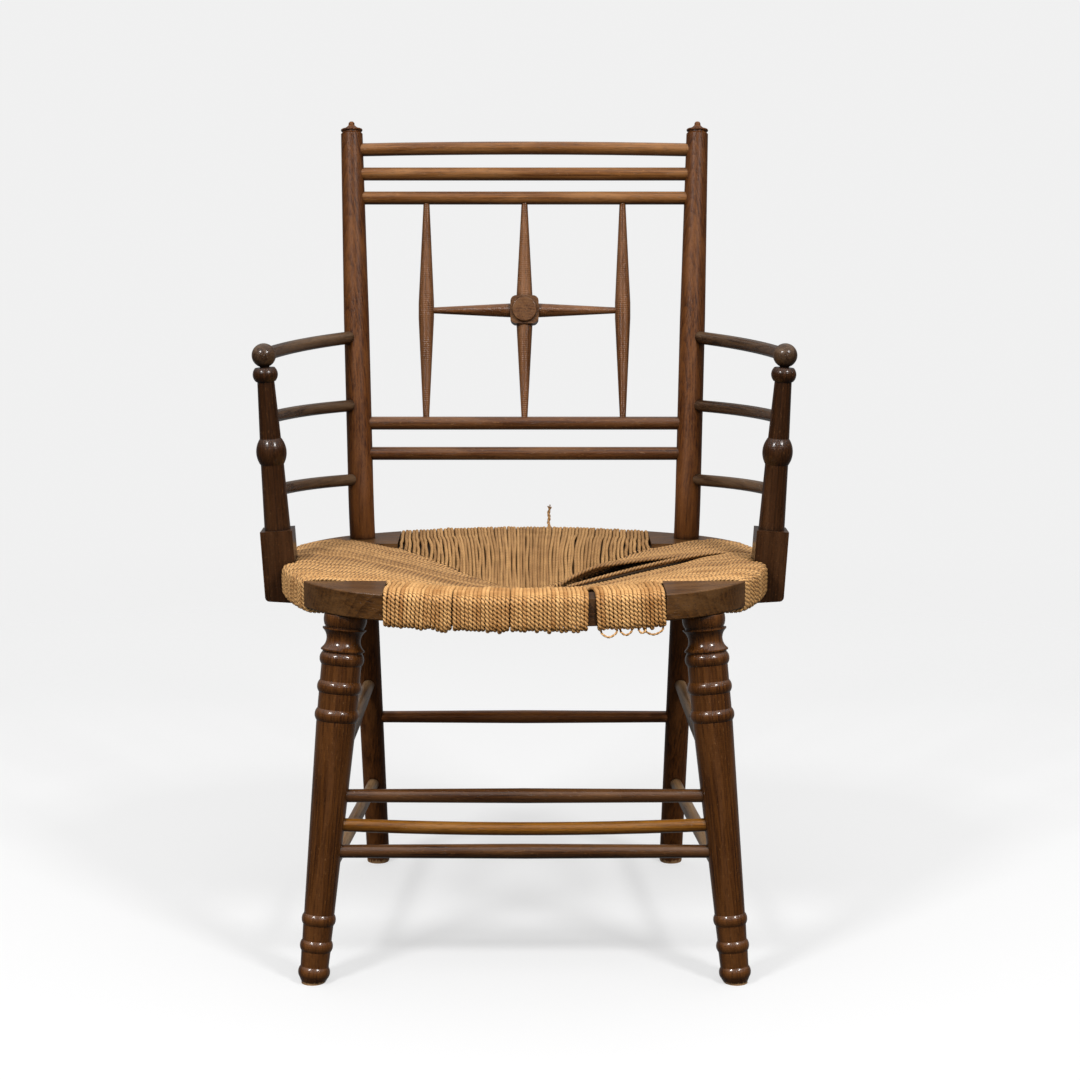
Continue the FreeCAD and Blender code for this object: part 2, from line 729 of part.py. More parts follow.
pieces["front_stretcher_top"] = front_stretcher(top_stretcher_height)
pieces["front_stretcher_middle"] = sagging_stretcher()
pieces["front_stretcher_lower"] = front_stretcher(low_stretcher_height)
pieces["rear_stretcher"] = rear_stretcher()
pair("side_stretcher_upper", side_stretcher(side_upper_front_height, side_upper_rear_height))
pair("side_stretcher_lower", side_stretcher(side_lower_front_height, side_lower_rear_height))
pair("front_leg", front_leg().cut(leg_cuts))


# Back posts


def lower_post(gap):
    """A post under its bend, cut level at the floor, or with a gap the hole for it in the corner block."""
    length = post_foot.distanceToPoint(post_bend) - bend_run
    foot = post_foot_diameter / 2 + gap
    rows = [(-post_foot_diameter, foot - foot_wear, 0), (0, foot - foot_wear, 0)]
    rows += [(foot_wear, foot, quarter_bulge * foot_wear), (length, post_diameter / 2 + gap, 0)]
    return turned(rows, post_foot, post_bend).cut(slab(-beyond, 0))


def upper_post():
    """A raked post over its bend, with the finial turned on its top."""
    start = post_bend + upper_run * bend_run
    top = start.distanceToPoint(post_top)
    thick, thin, button = post_diameter / 2, post_top_diameter / 2, finial_button_diameter / 2
    groove = thin - finial_rim
    bead_low = top + finial_groove
    neck = bead_low + finial_bead
    button_low = neck + finial_neck
    rows = [(0, thick, 0), (top - post_taper_length, thick, 0), (top - finial_rim, thin, 0), (top, groove, 0)]
    rows += [(bead_low, groove, 0), (neck, groove, finial_rim), (button_low, button, -finial_hollow)]
    rows += [(button_low + finial_button_height, button / 2, button / 4)]
    return turned(rows, start, post_top)


def back_post():
    """A steam-bent post from the floor to its finial."""
    start = post_bend - lower_run * bend_run
    axis = lower_run.cross(upper_run).normalize()
    section = Part.Face(Part.Wire([Part.Circle(start, lower_run, post_diameter / 2).toShape()]))
    centre = start + axis.cross(lower_run) * post_bend_radius
    bend = section.revolve(centre, axis, math.degrees(bend_turn))
    return lower_post(0).fuse([bend, upper_post()]).removeSplitter()


pair("back_post", back_post().cut(post_cuts))


# Seat frame in place

front_block = corner_block(front_corner(0), [front_joint, side_front_joint])
rear_block = corner_block(rear_corner(0), [back_joint, side_rear_joint])
pair("front_corner_block", front_block.cut(leg_mortise))
pair("rear_corner_block", rear_block.cut(lower_post(glue_gap)))
pieces["seat_rail_front"] = cross_rail(front_block_x, seat_middle_y - beyond, front_joint)
pieces["seat_rail_back"] = cross_rail(rear_block_x, seat_middle_y, back_joint)
pair("seat_rail", side_rail().cut(screw_holes))


# Rush seat


def rush_form():
    """The rush as one closed form, rolled over the rails and dished towards the middle."""
    top = seat_rail_top + rush_thickness
    bottom = seat_rail_bottom - rush_thickness - rush_slack
    outer, inner = seat_rail_inset - rush_thickness, seat_rail_inner + rush_thickness
    middle = (outer + inner) / 2
    lip = top - rush_lip
    scales = [(step + 0.5) / (dish_steps + 0.5) for step in range(dish_steps + 1)]
    dish = [lip - (seat_sag - rush_lip) * (1 + math.cos(math.pi * scale)) / 2 for scale in scales]
    belly = [bottom - (bottom - top + seat_sag + seat_core) * (1 - scale) for scale in scales]
    loops = [seat_loop(inner, scale, height) for scale, height in zip(scales, dish)]
    loops += [seat_loop(middle, 1, top), seat_loop(seat_rail_inset, 1, top - rush_crown)]
    loops += [seat_loop(outer, 1, top - rush_round), seat_loop(outer, 1, bottom + rush_round)]
    loops += [seat_loop(seat_rail_inset, 1, bottom + rush_crown), seat_loop(middle, 1, bottom)]
    loops += [seat_loop(inner, scale, height) for scale, height in reversed(list(zip(scales, belly)))]
    return Part.makeLoft(loops, True, True)


def rush_seat():
    """The rush, open for the rails that it goes round and for the blocks and arm posts that it stops at."""
    cuts = [arm_block(rush_gap), front_corner(rush_gap), rear_corner(rush_gap)]
    cuts += [mirrored(shape) for shape in cuts]
    return rush_form().cut(cuts + [seat_ring(rush_gap)])


pieces["rush_seat"] = rush_seat()

for name, shape in pieces.items():
    shape.exportStep("parts/" + name + ".step")
    print(name, len(shape.Solids), "valid" if shape.isValid() else "NOT VALID", round(shape.Volume))
box = Part.makeCompound(list(pieces.values())).optimalBoundingBox(False)
print("x", box.XMin, box.XMax, "y", box.YMin, box.YMax, "z", box.ZMin, box.ZMax)
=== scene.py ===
import math
import random

import bpy
import numpy as np
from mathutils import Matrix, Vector


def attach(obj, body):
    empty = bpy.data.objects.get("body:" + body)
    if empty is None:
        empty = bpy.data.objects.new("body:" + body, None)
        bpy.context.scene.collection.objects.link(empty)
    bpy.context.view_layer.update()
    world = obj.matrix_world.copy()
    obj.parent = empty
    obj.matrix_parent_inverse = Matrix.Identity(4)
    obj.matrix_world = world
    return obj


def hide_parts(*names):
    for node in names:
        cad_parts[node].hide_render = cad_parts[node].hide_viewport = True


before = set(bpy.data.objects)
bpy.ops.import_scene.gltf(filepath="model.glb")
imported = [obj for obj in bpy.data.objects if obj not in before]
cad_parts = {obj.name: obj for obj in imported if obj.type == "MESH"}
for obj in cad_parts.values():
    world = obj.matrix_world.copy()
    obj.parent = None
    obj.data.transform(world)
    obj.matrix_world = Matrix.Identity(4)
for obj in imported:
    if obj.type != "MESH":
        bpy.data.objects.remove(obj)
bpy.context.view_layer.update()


# Front legs: ash turned on a lathe, stained dark and polished. Beads at the foot, a long taper, three
# beads and a hollow under the seat; a round tenon is glued up into the corner block. The feet are
# scuffed at the rim.

MM = 0.001


def linear(shade):
    """Linear colour of an sRGB hex value."""
    parts = [int(shade[i:i + 2], 16) / 255 for i in (1, 3, 5)]
    return [p / 12.92 if p <= 0.04045 else ((p + 0.055) / 1.055) ** 2.4 for p in parts] + [1.0]


def add(tree, kind, links=None, **settings):
    """Adds a node with its settings, and sets its inputs or links them to other nodes."""
    node = tree.nodes.new(kind)
    for name, value in settings.items():
        setattr(node, name, value)
    for name, value in (links or {}).items():
        if isinstance(value, bpy.types.NodeSocket):
            tree.links.new(value, node.inputs[name])
        else:
            node.inputs[name].default_value = value
    return node


def stained_ash(
    name, grain, centre, tones, polish=0.3, coat=0.3, rings=0.0, scuffed=0.0, pith=30, nicks=0.3
):
    """Stained and polished ash, in a dark, a light and a rubbed tone. Year rings about 3 mm apart run
    along the grain round a pith that lies beside the piece. The stain gathers in streaks 2 mm wide and
    130 mm long, and pores show as short dark dashes. Handling has rubbed it thin in patches 15 mm wide
    and 110 mm long and left pale nicks. Grooves and recesses get painted shade where little light
    reaches; undersides get painted shade and tops are painted a little lighter. Lathe rings are drawn
    2.2 mm apart, coarser than real ones so that they show. Places and sizes are in mm."""
    dark, light, rubbed = [linear(tone) for tone in tones]
    nicked, bare = linear("#9a6c40"), linear("#a8835c")
    year_gap, lathe_gap = 3.1, 2.2
    one_wave = 0.314  # how far apart a wave texture's bands lie at scale 1
    groove_reach, pore_depth = 6, 0.3
    material = bpy.data.materials.new(name)
    material.use_nodes = True
    tree = material.node_tree
    shader = tree.nodes["Principled BSDF"]
    surface = add(tree, "ShaderNodeTexCoord").outputs
    place = surface["Object"]
    turn = Vector(grain).rotation_difference(Vector((0, 0, 1)))
    shift = Vector((pith, pith / 3, 0)) - turn @ Vector(centre)
    to_mm = {
        "Vector": place, "Location": shift, "Rotation": turn.to_euler(),
        "Scale": (1 / MM, 1 / MM, 1 / MM),
    }
    along = add(tree, "ShaderNodeMapping", to_mm).outputs["Vector"]

    def pattern(kind, across, length, low, high, links, most=1.0, **settings):
        """A texture stretched along the grain, from 0 where it is low to most where it is high."""
        stretch = {"Vector": along, "Scale": (1 / across, 1 / across, 1 / length)}
        stretched = add(tree, "ShaderNodeMapping", stretch).outputs[0]
        found = add(tree, kind, {"Vector": stretched, **links}, **settings).outputs["Fac"]
        ends = {"Value": found, "From Min": low, "From Max": high, "To Max": most}
        return add(tree, "ShaderNodeMapRange", ends).outputs[0]

    year = pattern(
        "ShaderNodeTexWave", across=1, length=30, low=0.0, high=1.0,
        links={"Scale": one_wave / year_gap, "Distortion": 3.0, "Detail": 2, "Detail Scale": 0.35},
        wave_type="RINGS", rings_direction="Z", wave_profile="SAW",
    )
    streak = pattern(
        "ShaderNodeTexNoise", across=2.2, length=130, low=0.28, high=0.74,
        links={"Scale": 1, "Detail": 5, "Roughness": 0.65},
    )
    pore = pattern(
        "ShaderNodeTexNoise", across=0.8, length=9, low=0.31, high=0.43,
        links={"Scale": 1, "Detail": 1},
    )
    patch = pattern(
        "ShaderNodeTexNoise", across=15, length=110, low=0.42, high=0.78, most=0.9,
        links={"Scale": 1, "Detail": 5, "Distortion": 0.7},
    )
    nick = pattern(
        "ShaderNodeTexNoise", across=1.8, length=5, low=0.6, high=0.72, most=nicks,
        links={"Scale": 1, "Detail": 3, "Roughness": 0.7},
    )

    year_share = 0.4
    figure = {0: year, 1: year_share, 2: streak}
    figure = add(tree, "ShaderNodeMath", figure, operation="MULTIPLY_ADD").outputs[0]
    figure = {"Value": figure, "From Min": 0.25, "From Max": 1.0}
    figure = add(tree, "ShaderNodeMapRange", figure).outputs[0]
    stain = {0: figure, 6: dark, 7: light}
    stain = add(tree, "ShaderNodeMix", stain, data_type="RGBA").outputs[2]
    stain = {0: patch, 6: stain, 7: rubbed}
    stain = add(tree, "ShaderNodeMix", stain, data_type="RGBA").outputs[2]
    stain = {0: nick, 6: stain, 7: nicked}
    stain = add(tree, "ShaderNodeMix", stain, data_type="RGBA").outputs[2]

    # painted shade: the colour is darkened in grooves and recesses, by how little ambient light reaches
    # them
    groove_shade = {"Distance": groove_reach * MM}
    groove_shade = add(tree, "ShaderNodeAmbientOcclusion", groove_shade, samples=6).outputs["AO"]
    groove_shade = {"Value": groove_shade, "From Min": 0.4, "From Max": 0.92, "To Min": 0.3}
    groove_shade = add(tree, "ShaderNodeMapRange", groove_shade).outputs[0]
    # painted shade and light: undersides are darkened and tops lightened a little, by which way the
    # surface faces
    under = add(tree, "ShaderNodeSeparateXYZ", {"Vector": surface["Normal"]}).outputs["Z"]
    under = {"Value": under, "From Min": -0.75, "From Max": 0.3, "To Min": 0.45, "To Max": 1.06}
    under = add(tree, "ShaderNodeMapRange", under).outputs[0]
    shade = {"Value": pore, "To Min": 0.65, "To Max": 1.0}
    shade = add(tree, "ShaderNodeMapRange", shade).outputs[0]
    for darker in (groove_shade, under):
        shade = add(tree, "ShaderNodeMath", {0: shade, 1: darker}, operation="MULTIPLY").outputs[0]
    stain = {0: 1.0, 6: stain, 7: shade}
    stain = add(tree, "ShaderNodeMix", stain, data_type="RGBA", blend_type="MULTIPLY").outputs[2]

    if scuffed:
        scuff = scuffed * MM
        height = add(tree, "ShaderNodeSeparateXYZ", {"Vector": place}).outputs["Z"]
        ragged = {0: streak, 1: scuff, 2: height}
        ragged = add(tree, "ShaderNodeMath", ragged, operation="MULTIPLY_ADD").outputs[0]
        worn = {
            "Value": ragged, "From Min": scuff * 0.8, "From Max": scuff * 1.2,
            "To Min": 0.8, "To Max": 0,
        }
        worn = add(tree, "ShaderNodeMapRange", worn).outputs[0]
        stain = {0: worn, 6: stain, 7: bare}
        stain = add(tree, "ShaderNodeMix", stain, data_type="RGBA").outputs[2]
    tree.links.new(stain, shader.inputs["Base Color"])

    rubbed_dull = 0.18
    gloss = {"Value": patch, "To Min": polish, "To Max": polish + rubbed_dull}
    gloss = add(tree, "ShaderNodeMapRange", gloss).outputs[0]
    tree.links.new(gloss, shader.inputs["Roughness"])
    lathe = {"Vector": along, "Scale": one_wave / lathe_gap, "Distortion": 0.8}
    lathe = add(tree, "ShaderNodeTexWave", lathe, bands_direction="Z").outputs["Fac"]
    relief = {0: lathe, 1: rings, 2: pore}
    relief = add(tree, "ShaderNodeMath", relief, operation="MULTIPLY_ADD").outputs[0]
    relief = {"Height": relief, "Strength": 0.45, "Distance": pore_depth * MM}
    relief = add(tree, "ShaderNodeBump", relief).outputs[0]
    tree.links.new(relief, shader.inputs["Normal"])
    shader.inputs["IOR"].default_value = 1.5
    shader.inputs["Specular IOR Level"].default_value = 0.25
    shader.inputs["Coat Weight"].default_value = coat
    shader.inputs["Coat Roughness"].default_value = 0.12
    return material


def dress(material, *names):
    """Gives CAD nodes a material."""
    for name in names:
        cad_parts[name].material_slots[0].material = material


for side, sign in (("left", -1), ("right", 1)):
    leg_wood = stained_ash(
        "ash_turned_stained_leg_" + side,
        grain=(-34.5 * sign, 46.5, 373), centre=(214 * sign, -203, 0),
        tones=("#321808", "#5a3412", "#6c421e"), polish=0.24, coat=0.6, rings=0.4, scuffed=4,
    )
    dress(leg_wood, "front_leg_" + side)


# Back posts: ash steam-bent in one length from the floor to the finial and glued into the rear corner
# blocks. They are stained a redder brown, with a satin polish, and worn pale round the foot.

for side, sign in (("left", -1), ("right", 1)):
    post_wood = stained_ash(
        "ash_bent_stained_post_" + side,
        grain=(13 * sign, 0, 420), centre=(182 * sign, 150, 400),
        tones=("#311505", "#683c18", "#7c4c24"), polish=0.38, coat=0.0, scuffed=7,
    )
    dress(post_wood, "back_post_" + side)


# Stretchers: thin turned ash sticks glued into the legs and posts. The middle front one sags and is of
# a paler, golden wood. The rear one is redder, and its stain is painted lighter against the seat's
# shadow.
# The side ones are pale grey-tan, partly dusty and rubbed by heels and partly a painted sheen.

dress(
    stained_ash(
        "ash_turned_stained_stretcher", grain=(1, 0, 0), centre=(0, -190, 160),
        tones=("#2b1508", "#5a371b", "#6c4828"), polish=0.2, coat=0.9,
    ),
    "front_stretcher_top", "front_stretcher_lower",
)
# painted light: the rear stretcher's tones are lighter than the front ones to offset the seat's shadow
# over it
dress(
    stained_ash(
        "ash_turned_red_stretcher_painted_lighter", grain=(1, 0, 0), centre=(0, 190, 200),
        tones=("#562c12", "#94592a", "#a26836"), coat=0.2,
    ),
    "rear_stretcher",
)
dress(
    stained_ash(
        "ash_turned_golden_stretcher", grain=(1, 0, 0), centre=(0, -190, 160),
        tones=("#55300a", "#8a5718", "#986628"), polish=0.22, coat=0.7,
    ),
    "front_stretcher_middle",
)
for side, sign in (("left", -1), ("right", 1)):
    # partly painted sheen: the pale grey-tan tones stand for the sheen along these sticks as well as
    # for dust and heel wear
    heel_worn_sheen_wood = stained_ash(
        "ash_turned_rubbed_stretcher_" + side,
        grain=(-0.06 * sign, 1, 0), centre=(195 * sign, 0, 160),
        tones=("#573a20", "#8d6a47", "#aa8a64"), polish=0.34,
    )
    dress(heel_worn_sheen_wood, "side_stretcher_upper_" + side, "side_stretcher_lower_" + side)


# Seat frame: four sawn ash corner blocks, mortised for the legs, posts and rails, and four bent rails
# tenoned between them. The blocks are stained and polished; the rails are stained but dull, since the
# rush covers them.

for side, sign in (("left", -1), ("right", 1)):
    block_wood = stained_ash(
        "ash_sawn_stained_block_" + side,
        grain=(1, 0.3 * sign, 0), centre=(180 * sign, 0, 386),
        tones=("#361f0a", "#63401e", "#73502d"), polish=0.36, coat=0.15,
    )
    dress(block_wood, "front_corner_block_" + side, "rear_corner_block_" + side)
for course, grain, rails in (
    ("long", (1, 0, 0), ("front", "back")),
    ("side", (0, 1, 0), ("left", "right")),
):
    rail_wood = stained_ash(
        "ash_bent_dull_rail_" + course, grain=grain, centre=(0, 0, 386),
        tones=("#2c190a", "#52351b", "#624529"), polish=0.5, coat=0.0,
    )
    dress(rail_wood, *["seat_rail_" + rail for rail in rails])


# Back: five turned ash rails glued between the posts, and a panel of tapered spindles that meet in a
# squared boss with a turned face. The wood is a little lighter here, and the lathe's rings show.

dress(
    stained_ash(
        "ash_turned_stained_rail", grain=(1, 0, 0), centre=(0, 180, 700),
        tones=("#47240c", "#8a592b", "#a27141"), polish=0.28, coat=0.5, nicks=0.7,
    ),
    "crest_rail_top", "crest_rail_middle", "crest_rail_lower",
)
dress(
    stained_ash(
        "ash_turned_dark_rail", grain=(1, 0, 0), centre=(0, 150, 500),
        tones=("#331909", "#643c1d", "#7a512e"), polish=0.26, coat=0.6, nicks=0.6,
    ),
    "lower_back_rail_upper", "lower_back_rail_lower",
)
for course, grain, spindles in (
    ("level", (1, 0, 0), ("cross_spindle_left", "cross_spindle_right")),
    ("upright", (0, 0.18, 1), (
        "outer_spindle_left", "outer_spindle_right", "centre_spindle_upper", "centre_spindle_lower",
    )),
):
    spindle_wood = stained_ash(
        "ash_turned_%s_spindle" % course, grain=grain, centre=(0, 170, 620),
        tones=("#3e210c", "#774b29", "#8a5e3b"), polish=0.26, coat=0.4, rings=2.0, nicks=0.6,
    )
    dress(spindle_wood, *spindles)
dress(
    stained_ash(
        "ash_turned_stained_boss", grain=(0.1, -1, 0.2), centre=(0, 160, 600),
        tones=("#3c200c", "#6e4726", "#7d5632"), polish=0.36, coat=0.15, rings=0.5, pith=4,
    ),
    "centre_boss",
)


# Arms: bowed ash sticks from the posts to a ball on each turned arm post, with two thinner rails under
# each. The arm posts have a squared foot that is housed over the side rail and screwed from inside.

for side, sign in (("left", -1), ("right", 1)):
    arm_wood = stained_ash(
        "ash_bent_stained_arm_" + side,
        grain=(84 * sign, -180, -4), centre=(272.7 * sign, -20.2, 619),
        tones=("#26160b", "#4b3523", "#735a42"), polish=0.26, coat=0.35, pith=3,
    )
    dress(arm_wood, "arm_" + side, "arm_middle_rail_" + side, "arm_lower_rail_" + side)
    arm_post_wood = stained_ash(
        "ash_turned_stained_arm_post_" + side,
        grain=(13.5 * sign, 0, 219), centre=(259 * sign, -20, 400),
        tones=("#1f0f04", "#40240f", "#503118"), polish=0.28, coat=0.35, rings=0.3,
    )
    dress(arm_post_wood, "arm_post_" + side)


# Arm post screws: four plain steel screws, turned, and driven from inside the side rails into the feet
# of the arm posts. Turned steel gives a dull metal shine, here broken by brown rust in spots about
# 2.5 mm wide.

rust_width = 2.5
screw_steel = bpy.data.materials.new("steel_turned_screw")
screw_steel.use_nodes = True
steel_tree = screw_steel.node_tree
steel = steel_tree.nodes["Principled BSDF"]
steel.inputs["Metallic"].default_value = 1.0
steel_place = add(steel_tree, "ShaderNodeTexCoord").outputs["Object"]
rust = {"Vector": steel_place, "Scale": 1 / (rust_width * MM), "Detail": 3}
rust = add(steel_tree, "ShaderNodeTexNoise", rust).outputs["Fac"]
rust = {0: rust, 6: linear("#8c8883"), 7: linear("#6b5142")}
rust = add(steel_tree, "ShaderNodeMix", rust, data_type="RGBA").outputs[2]
steel_tree.links.new(rust, steel.inputs["Base Color"])
steel.inputs["Roughness"].default_value = 0.45
dress(screw_steel, "arm_post_screws")


# Rush seat: two-ply twisted rush cord about 4.5 mm thick, wound over the four rails in turn so that it
# lies in four fans that meet along mitres, over and under. It has sagged into a dish, and wear has
# parted it in places. Places and sizes are in mm.

outline_arcs = ((408, 20), (156, 60), (274, 90), (420, 98), (145, 150), (None, 180))
arc_points = 40
seat_front, seat_middle = -231.2, -9.65
rim_depth = 44.0
rim_height, foot_height = 397.2, 367.9
dish_depth, belly_depth = 33.9, 19.4
rail_turn = (
    (21.6, foot_height), (7.0, 368.6), (2.3, 371.8), (1.25, 378.0), (1.25, 390.5), (2.4, 396.6),
    (8.0, 399.7), (21.6, 400.4), (34.0, 399.2), (rim_depth, rim_height),
)
rail_middle, rail_half, rail_shoulder = 385, 15, 396
front_mitre = ((140.0, -133.5), (16.0, -32.0))
rear_mitre = ((141.0, 95.0), (16.0, 8.0))
meeting_y, meeting_half = -12.0, 1.5


def seat_outline(inset):
    """x and y along the right half of the seat's outline, from its front middle to its back middle.
    Each arc has a radius and the heading in degrees where it ends, and the last one closes."""
    x, y, start, points = 0.0, seat_front, 0.0, []
    for radius, end in outline_arcs:
        radius = radius or x / math.sin(start)
        centre_x, centre_y = x - radius * math.sin(start), y + radius * math.cos(start)
        reach = radius - inset
        for heading in np.linspace(start, math.radians(end), arc_points):
            points.append(
                (centre_x + reach * math.sin(heading), centre_y - reach * math.cos(heading))
            )
        start = math.radians(end)
        x, y = centre_x + radius * math.sin(start), centre_y - radius * math.cos(start)
    return np.array(points).T


outer_x, outer_y = seat_outline(0)
inner_x, inner_y = seat_outline(rim_depth)
inner_angle = np.arctan2(inner_x, seat_middle - inner_y)
inner_reach = np.hypot(inner_x, inner_y - seat_middle)
widest = int(np.argmax(outer_x))


def share_out(x, y):
    """How far out a point of the seat lies: 0 at the middle, 1 at the rails' inner edge."""
    reach = np.interp(math.atan2(abs(x), seat_middle - y), inner_angle, inner_reach)
    return min(1.0, math.hypot(x, y - seat_middle) / reach)


def top_height(x, y):
    """Height of a cord's middle on the dished top of the seat."""
    return rim_height - dish_depth * (1 + math.cos(math.pi * share_out(x, y))) / 2


def under_height(x, y):
    """Height of a cord's middle under the seat."""
    return foot_height - belly_depth * (1 - share_out(x, y))


def mitre_between(ends, value, axis):
    """The other coordinate of a mitre where one has a value, held at the mitre's ends past them."""
    start, end = [(point[axis], point[1 - axis]) for point in ends]
    part = min(1.0, max(0.0, (value - start[0]) / (end[0] - start[0])))
    return start[1] + (end[1] - start[1]) * part


chance = random.Random(11)
fans = {}


def lay_cord(fan, points, thickness=1.0):
    """Keeps one cord's points, with its own tone and the angle that its twist starts at."""
    tone, first_angle = chance.random(), chance.uniform(0, math.tau)
    fans.setdefault(fan, []).append((points, tone, first_angle, thickness))


def run_in(start, end, height, steps, bow=0.0, ripple=0.0, even=True):
    """Points from the rail's inner edge in to the mitre, top or underside, bowed and rippled a little
    sideways. A run that isn't even leans most at the rail."""
    points = []
    for step in range(1, steps + 1):
        part = step / steps
        x = start[0] + (end[0] - start[0]) * (part if even else part * (2 - part))
        y = start[1] + (end[1] - start[1]) * part
        side = bow * math.sin(math.pi * part) + ripple * math.sin(3 * math.pi * part)
        if abs(end[0] - start[0]) < abs(end[1] - start[1]):
            x += side
        else:
            y += side
        points.append((x, y, height(x, y)))
    return points


over_steps, under_steps = 9, 6
dive_depth = 7


def dive(points, fall):
    """Ends a cord by turning it down, or up, between the two layers."""
    x, y, z = points[-1]
    return points + [(x, y, z - fall)]


def parted(place, partings, spread):
    """How far a cord is pushed aside by the gaps that wear has opened beside it."""
    push = 0.0
    for gap, width in partings:
        push += math.copysign(width * math.exp(-abs(place - gap) / spread), place - gap)
    return push


# Front and back fans. A parting has a place and a width.
cross_fans = {
    "front": {
        "cords": 69, "reach": 137.4, "jitter": 0.1, "thickness": 1.13, "ripple": 0.2,
        "way": 1, "half": slice(0, widest), "arc": 408, "mitre": front_mitre, "gather": 0.08,
    },
    "back": {
        "cords": 73, "reach": 138.4, "jitter": 0.3, "thickness": 0.99, "ripple": 0.45,
        "way": -1, "half": slice(None, widest, -1), "arc": 365, "mitre": rear_mitre, "gather": 0.2,
    },
}
gather_half = 141
cross_lift, cross_bow, cross_tilt, cross_spread = (0.2, 0.4), 0.4, 0.15, 0.03
bare_gap, bare_half = 66.0, 5.0
bare_closing, closing_fade = 4.5, 14
front_partings, front_fade = ((-14.0, 0.7), (-70.0, 0.7), (bare_gap, 0.3)), 9
left_tilt, left_tilt_x, left_tilt_fade = 0.9, -105, 25
right_tilt, right_tilt_x = 0.8, 72
loop_slack, long_loop, long_loop_odds = 1.4, 2.0, 0.8
loop_top, loop_fade, loop_forward = 374, 6, 0.4
back_partings, back_fade, back_push = (
    (-128.0, 1.5), (-112.0, 1.4), (-98.0, 0.8), (-62.0, 0.4), (-18.0, 0.9), (-8.0, 0.6),
    (20.0, 0.7), (36.0, 1.2), (50.0, 0.9), (62.0, 1.2), (78.0, 0.8), (120.0, 1.0),
), 4, 0.6
back_slack, back_lean = 0.4, 0.3


def cross_cord(name, x):
    """One cord that goes over the front or the back rail at x. At the front it tilts, hangs slack under
    the rail and closes over the bare gap; at the back it leans in from the rail to the mitre."""
    fan = cross_fans[name]
    front, way = name == "front", fan["way"]
    if front:
        x += parted(x, front_partings, front_fade)
    edge = np.interp(abs(x), outer_x[fan["half"]], outer_y[fan["half"]])
    slope = math.sqrt(1 - (x / fan["arc"]) ** 2)
    end_x = x * (1 - fan["gather"] * (1 - (x / gather_half) ** 2))
    lift = max(0.0, chance.gauss(*cross_lift))
    bow = chance.gauss(0, cross_bow)
    ripple = chance.gauss(0, fan["ripple"])
    tilt = chance.gauss(0, cross_tilt)
    if front:
        left_share = math.exp(-((x - left_tilt_x) / left_tilt_fade) ** 2)
        tilt += left_tilt * left_share - right_tilt * (x > right_tilt_x)
        loop = chance.uniform(0, loop_slack) + (chance.random() > long_loop_odds) * long_loop
        lean = 0.0
    else:
        bow += back_push * parted(x, back_partings, back_fade)
        loop = back_slack
        lean = back_lean * (end_x - x)
    over = []
    for depth, z in rail_turn:
        hang = min(1.0, max(0.0, (loop_top - z) / loop_fade)) * loop
        sway = tilt * (z - rail_middle) / rail_half
        sway += lean * (z > rail_shoulder) * depth / rim_depth
        edge_y = edge + way * (depth - hang * loop_forward) / slope
        over.append((x + sway, edge_y, z + lift * (z > rail_middle) - hang))
    if front:
        closing = bare_closing * math.exp(-abs(x - bare_gap) / closing_fade)
        end_x -= math.copysign(closing, x - bare_gap)
    end_y = mitre_between(fan["mitre"], abs(end_x), 0)
    if abs(end_x) < front_mitre[1][0]:
        end_y = meeting_y - way * meeting_half
    end = (end_x, end_y)

    def lifted(a, b):
        return top_height(a, b) + lift

    over += run_in(over[-1][:2], end, lifted, over_steps, bow, ripple, even=front)
    thickness = fan["thickness"] + chance.gauss(0, cross_spread)
    lay_cord("rush_%s_over" % name, dive(over, dive_depth), thickness)
    inner = (x, edge + way * rim_depth / slope)
    under = [over[0], (*inner, foot_height)] + run_in(inner, end, under_height, under_steps)
    lay_cord("rush_%s_under" % name, dive(under, -dive_depth))


# Side fans. They swell over the stuffing, and spans are along y.
side_cords, side_reach, side_jitter, side_thickness = 57, (-131.0, 92.6), 0.4, 1.1
side_lift, side_bow, side_ripple, side_spread = (0.3, 0.6), 0.7, 0.4, 0.06
side_gather, side_shift = 0.94, 1
side_swell, swell_from, swell_over = 5.0, -70, 110
swell_depth, swell_fade = 40, 18
swell_reach, swell_start = 30, 0.15
slot_span, slot_slack, slot_fade = (13.0, 23.0), 6.0, 18
taut_span, taut_most, taut_fade = (23.0, 60.0), 0.95, 30
taut_rise, taut_arch, taut_ease = 13, 3, 6
arm_block_face, arm_block_span = 241.6, (-39.5, -0.8)
arm_block_clear, arm_block_cord = 2, 400.2


